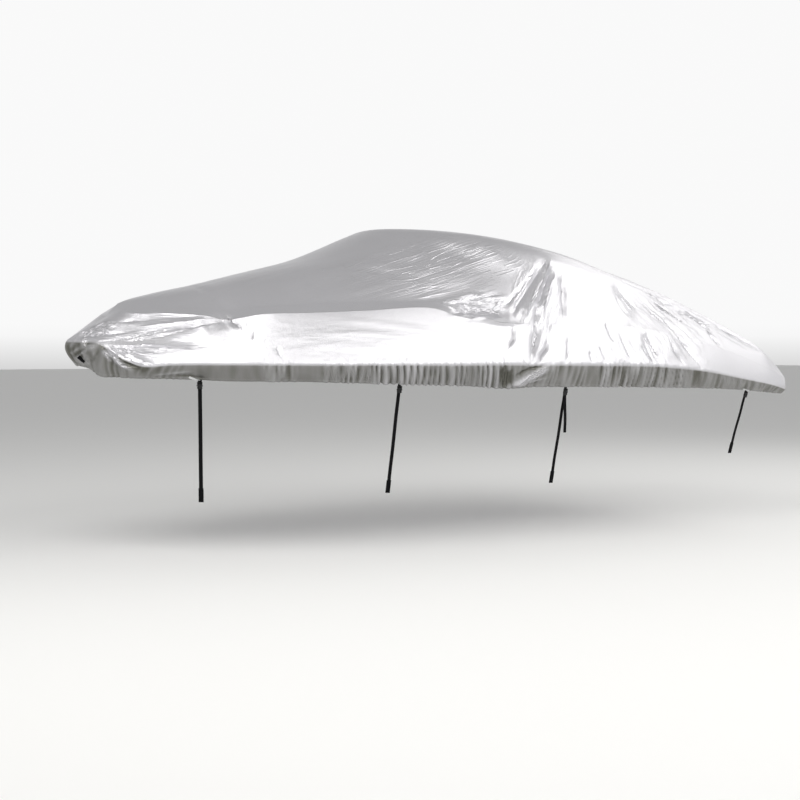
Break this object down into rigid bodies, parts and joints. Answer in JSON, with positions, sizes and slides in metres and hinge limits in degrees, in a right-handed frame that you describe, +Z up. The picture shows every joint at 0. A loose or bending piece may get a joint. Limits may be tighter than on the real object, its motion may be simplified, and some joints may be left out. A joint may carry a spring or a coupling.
{
  "type": "boat cover",
  "caption": "Fitted boat cover of silver coated cloth, draped over a pointed bow, a raised screen and a square stern, with tie-down straps and buckles",
  "frame": {"origin": "on the centreline just under the cloth at its highest place, where the boat's screen carries the top", "axes": "+X from the bow to the stern, +Y to starboard, +Z up"},
  "size_m": [5.3499, 2.2718, 1.7851],
  "materials": {
    "coated_cloth": "silver coated polyester, slightly shiny",
    "patch_cloth": "plain pale cloth",
    "webbing": "black woven webbing",
    "buckle_plastic": "black moulded plastic"
  },
  "bodies": {
    "root": {"top_panel": "coated_cloth", "port_side_panel": "coated_cloth", "starboard_side_panel": "coated_cloth", "stern_panel": "coated_cloth", "port_strap_1": "webbing", "port_buckle_1": "buckle_plastic", "port_strap_2": "webbing", "port_buckle_2": "buckle_plastic", "port_strap_3": "webbing", "port_buckle_3": "buckle_plastic", "port_strap_4": "webbing", "port_buckle_4": "buckle_plastic", "port_strap_3_tail": "webbing", "port_patch_1": "patch_cloth", "port_patch_4": "patch_cloth", "bow_tab": "webbing"}
  },
  "joints": []
}
